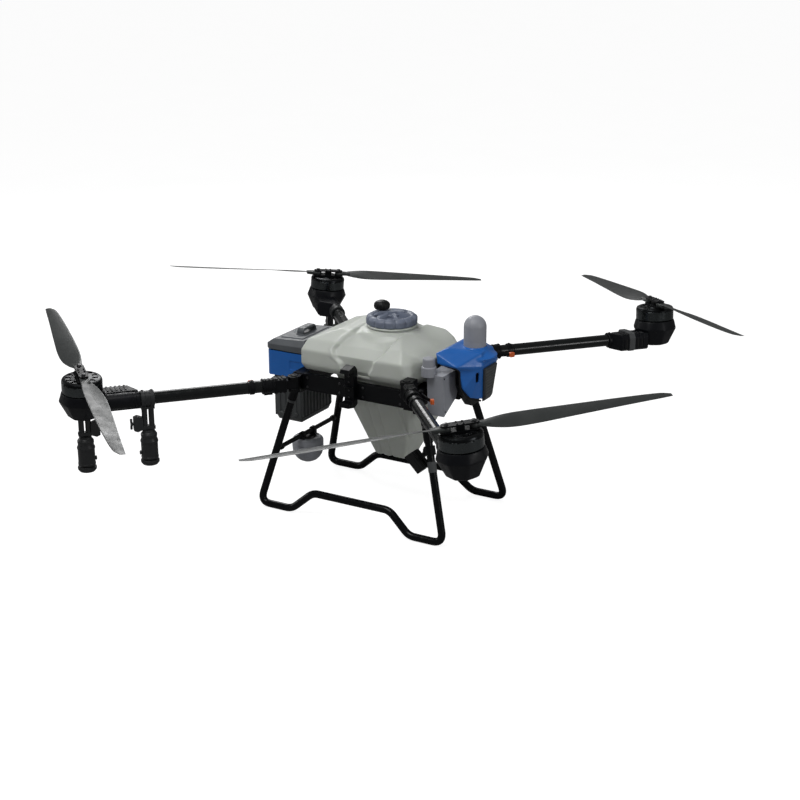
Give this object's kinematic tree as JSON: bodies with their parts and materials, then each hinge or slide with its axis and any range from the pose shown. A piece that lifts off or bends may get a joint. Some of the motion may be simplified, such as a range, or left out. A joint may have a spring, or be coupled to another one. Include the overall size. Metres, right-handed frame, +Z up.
{
  "type": "agricultural spray drone",
  "caption": "Folding-arm spray drone with a lift-out tank and battery, rear spray nozzles under the arms, tubular skids, nose shell with antenna dome and belly terrain radar.",
  "frame": {"origin": "on the ground, under the middle of the airframe", "axes": "+X towards the nose, +Y the left side, +Z up"},
  "size_m": [2.3108, 2.2977, 0.7282],
  "materials": {
    "black_metal": "black satin coat",
    "skid_tube": "black gloss coat",
    "carbon_tube": "woven carbon fibre, satin clear coat",
    "tank_plastic": "translucent natural polyethylene, fine grain",
    "blue_plastic": "blue moulding, semi-gloss",
    "grey_plastic": "grey moulding, fine grain",
    "cap_plastic": "slate moulding",
    "lid_plastic": "dark grey moulding",
    "black_plastic": "black moulding, fine grain",
    "pod_plastic": "black glass-filled nylon, satin",
    "motor_metal": "dark anodised, turned",
    "blade_composite": "carbon-filled nylon, satin",
    "nozzle_plastic": "black moulding",
    "orange_plastic": "orange moulding"
  },
  "bodies": {
    "root": {"rail_right": "black_metal", "rail_left": "black_metal", "front_crossmember": "black_metal", "rear_crossmember": "black_metal", "arm_clip_right": "black_metal", "arm_clip_left": "black_metal", "skid_right": "skid_tube", "skid_left": "skid_tube", "radar_crossbar": "black_metal", "terrain_radar": "grey_plastic", "nose_shell": "blue_plastic", "avionics_case": "black_plastic", "nose_panel": "black_plastic", "antenna_dome": "grey_plastic", "spray_pump": "grey_plastic", "tail_shell": "blue_plastic", "lamp_bracket": "black_metal"},
    "tank": {"tank": "tank_plastic"},
    "tank_cap": {"tank_cap": "cap_plastic"},
    "breather": {"breather_knob": "black_plastic"},
    "battery": {"battery_case": "black_plastic", "battery_lid": "lid_plastic"},
    "lamp": {"work_lamp": "black_plastic"},
    "arm_front_right": {"arm_tube_front_right": "carbon_tube", "arm_knuckle_front_right": "black_metal", "motor_pod_front_right": "pod_plastic"},
    "lever_front_right": {"lock_lever_front_right": "orange_plastic"},
    "rotor_front_right": {"rotor_hub_front_right": "motor_metal"},
    "blade_a_front_right": {"blade_a_front_right": "blade_composite"},
    "blade_b_front_right": {"blade_b_front_right": "blade_composite"},
    "arm_front_left": {"arm_tube_front_left": "carbon_tube", "arm_knuckle_front_left": "black_metal", "motor_pod_front_left": "pod_plastic"},
    "lever_front_left": {"lock_lever_front_left": "orange_plastic"},
    "rotor_front_left": {"rotor_hub_front_left": "motor_metal"},
    "blade_a_front_left": {"blade_a_front_left": "blade_composite"},
    "blade_b_front_left": {"blade_b_front_left": "blade_composite"},
    "arm_rear_right": {"arm_tube_rear_right": "carbon_tube", "arm_knuckle_rear_right": "black_metal", "motor_pod_rear_right": "pod_plastic", "nozzle_outer_rear_right": "nozzle_plastic", "nozzle_inner_rear_right": "nozzle_plastic"},
    "lever_rear_right": {"lock_lever_rear_right": "orange_plastic"},
    "rotor_rear_right": {"rotor_hub_rear_right": "motor_metal"},
    "blade_a_rear_right": {"blade_a_rear_right": "blade_composite"},
    "blade_b_rear_right": {"blade_b_rear_right": "blade_composite"},
    "disc_outer_rear_right": {"nozzle_disc_outer_rear_right": "nozzle_plastic"},
    "disc_inner_rear_right": {"nozzle_disc_inner_rear_right": "nozzle_plastic"},
    "arm_rear_left": {"arm_tube_rear_left": "carbon_tube", "arm_knuckle_rear_left": "black_metal", "motor_pod_rear_left": "pod_plastic", "nozzle_outer_rear_left": "nozzle_plastic", "nozzle_inner_rear_left": "nozzle_plastic"},
    "lever_rear_left": {"lock_lever_rear_left": "orange_plastic"},
    "rotor_rear_left": {"rotor_hub_rear_left": "motor_metal"},
    "blade_a_rear_left": {"blade_a_rear_left": "blade_composite"},
    "blade_b_rear_left": {"blade_b_rear_left": "blade_composite"},
    "disc_outer_rear_left": {"nozzle_disc_outer_rear_left": "nozzle_plastic"},
    "disc_inner_rear_left": {"nozzle_disc_inner_rear_left": "nozzle_plastic"}
  },
  "joints": [
    {"name": "tank_lift", "type": "slide", "parent": "root", "child": "tank", "axis": [0, 0, 1], "range_m": [0, 0.3]},
    {"name": "cap_turn", "type": "hinge", "parent": "tank", "child": "tank_cap", "pos_m": [0.036, 0, 0.67], "axis": [0, 0, 1], "range_deg": [0, 90]},
    {"name": "breather_turn", "type": "hinge", "parent": "tank_cap", "child": "breather", "pos_m": [-0.002, 0, 0.7], "axis": [0, 0, 1], "range_deg": [0, 90]},
    {"name": "battery_lift", "type": "slide", "parent": "root", "child": "battery", "axis": [0, 0, 1], "range_m": [0, 0.3]},
    {"name": "lamp_tilt", "type": "hinge", "parent": "root", "child": "lamp", "pos_m": [0.25509, -0.1785, 0.28109], "axis": [0, 1, 0], "range_deg": [-15, 40]},
    {"name": "arm_fold_front_right", "type": "hinge", "parent": "root", "child": "arm_front_right", "pos_m": [0.215, -0.215, 0.5155], "axis": [0, 0, -1], "range_deg": [0, 124]},
    {"name": "lever_front_right", "type": "hinge", "parent": "arm_front_right", "child": "lever_front_right", "pos_m": [0.28023, -0.23976, 0.5155], "axis": [0, 0, 1], "range_deg": [0, 75]},
    {"name": "rotor_spin_front_right", "type": "hinge", "parent": "arm_front_right", "child": "rotor_front_right", "pos_m": [0.68, -0.733, 0.625], "axis": [-0.0649, -0.0582, 0.9962], "continuous": true},
    {"name": "blade_a_fold_front_right", "type": "hinge", "parent": "rotor_front_right", "child": "blade_a_front_right", "pos_m": [0.70887, -0.70708, 0.64044], "axis": [-0.0649, -0.0582, 0.9962], "range_deg": [0, 80]},
    {"name": "blade_b_fold_front_right", "type": "hinge", "parent": "rotor_front_right", "child": "blade_b_front_right", "pos_m": [0.64957, -0.76032, 0.63347], "axis": [-0.0649, -0.0582, 0.9962], "range_deg": [-102, 0]},
    {"name": "arm_fold_front_left", "type": "hinge", "parent": "root", "child": "arm_front_left", "pos_m": [0.215, 0.215, 0.5155], "axis": [0, 0, 1], "range_deg": [0, 124]},
    {"name": "lever_front_left", "type": "hinge", "parent": "arm_front_left", "child": "lever_front_left", "pos_m": [0.28023, 0.23976, 0.5155], "axis": [0, 0, -1], "range_deg": [0, 75]},
    {"name": "rotor_spin_front_left", "type": "hinge", "parent": "arm_front_left", "child": "rotor_front_left", "pos_m": [0.68, 0.733, 0.625], "axis": [0.0649, -0.0582, -0.9962], "continuous": true},
    {"name": "blade_a_fold_front_left", "type": "hinge", "parent": "rotor_front_left", "child": "blade_a_front_left", "pos_m": [0.70816, 0.70631, 0.64044], "axis": [-0.0649, 0.0582, 0.9962], "range_deg": [-80, 0]},
    {"name": "blade_b_fold_front_left", "type": "hinge", "parent": "rotor_front_left", "child": "blade_b_front_left", "pos_m": [0.65028, 0.76109, 0.63347], "axis": [-0.0649, 0.0582, 0.9962], "range_deg": [0, 102]},
    {"name": "arm_fold_rear_right", "type": "hinge", "parent": "root", "child": "arm_rear_right", "pos_m": [-0.215, -0.215, 0.464], "axis": [0, 0, 1], "range_deg": [0, 96]},
    {"name": "lever_rear_right", "type": "hinge", "parent": "arm_rear_right", "child": "lever_rear_right", "pos_m": [-0.28023, -0.23976, 0.464], "axis": [0, 0, -1], "range_deg": [0, 75]},
    {"name": "rotor_spin_rear_right", "type": "hinge", "parent": "arm_rear_right", "child": "rotor_rear_right", "pos_m": [-0.68, -0.733, 0.556], "axis": [-0.0649, 0.0582, -0.9962], "continuous": true},
    {"name": "blade_a_fold_rear_right", "type": "hinge", "parent": "rotor_rear_right", "child": "blade_a_rear_right", "pos_m": [-0.70979, -0.70813, 0.57144], "axis": [0.0649, -0.0582, 0.9962], "range_deg": [-80, 0]},
    {"name": "blade_b_fold_rear_right", "type": "hinge", "parent": "rotor_rear_right", "child": "blade_b_rear_right", "pos_m": [-0.64865, -0.75926, 0.56447], "axis": [0.0649, -0.0582, 0.9962], "range_deg": [0, 102]},
    {"name": "disc_spin_outer_rear_right", "type": "hinge", "parent": "arm_rear_right", "child": "disc_outer_rear_right", "pos_m": [-0.68067, -0.73374, 0.248], "axis": [0, 0, 1], "continuous": true},
    {"name": "disc_spin_inner_rear_right", "type": "hinge", "parent": "arm_rear_right", "child": "disc_inner_rear_right", "pos_m": [-0.54373, -0.58119, 0.248], "axis": [0, 0, 1], "continuous": true},
    {"name": "arm_fold_rear_left", "type": "hinge", "parent": "root", "child": "arm_rear_left", "pos_m": [-0.215, 0.215, 0.464], "axis": [0, 0, -1], "range_deg": [0, 96]},
    {"name": "lever_rear_left", "type": "hinge", "parent": "arm_rear_left", "child": "lever_rear_left", "pos_m": [-0.28023, 0.23976, 0.464], "axis": [0, 0, 1], "range_deg": [0, 75]},
    {"name": "rotor_spin_rear_left", "type": "hinge", "parent": "arm_rear_left", "child": "rotor_rear_left", "pos_m": [-0.68, 0.733, 0.556], "axis": [0.0649, 0.0582, 0.9962], "continuous": true},
    {"name": "blade_a_fold_rear_left", "type": "hinge", "parent": "rotor_rear_left", "child": "blade_a_rear_left", "pos_m": [-0.70979, 0.70813, 0.57144], "axis": [0.0649, 0.0582, 0.9962], "range_deg": [0, 80]},
    {"name": "blade_b_fold_rear_left", "type": "hinge", "parent": "rotor_rear_left", "child": "blade_b_rear_left", "pos_m": [-0.64865, 0.75926, 0.56447], "axis": [0.0649, 0.0582, 0.9962], "range_deg": [-102, 0]},
    {"name": "disc_spin_outer_rear_left", "type": "hinge", "parent": "arm_rear_left", "child": "disc_outer_rear_left", "pos_m": [-0.68067, 0.73374, 0.248], "axis": [0, 0, 1], "continuous": true},
    {"name": "disc_spin_inner_rear_left", "type": "hinge", "parent": "arm_rear_left", "child": "disc_inner_rear_left", "pos_m": [-0.54373, 0.58119, 0.248], "axis": [0, 0, 1], "continuous": true}
  ],
  "couplings": [
    {"joint": "blade_a_fold_front_right", "follows": "arm_fold_front_right", "ratio": 0.637},
    {"joint": "blade_b_fold_front_right", "follows": "arm_fold_front_right", "ratio": -0.815},
    {"joint": "blade_a_fold_front_left", "follows": "arm_fold_front_left", "ratio": -0.637},
    {"joint": "blade_b_fold_front_left", "follows": "arm_fold_front_left", "ratio": 0.815},
    {"joint": "blade_a_fold_rear_right", "follows": "arm_fold_rear_right", "ratio": -0.825},
    {"joint": "blade_b_fold_rear_right", "follows": "arm_fold_rear_right", "ratio": 1.05},
    {"joint": "blade_a_fold_rear_left", "follows": "arm_fold_rear_left", "ratio": 0.825},
    {"joint": "blade_b_fold_rear_left", "follows": "arm_fold_rear_left", "ratio": -1.05}
  ]
}
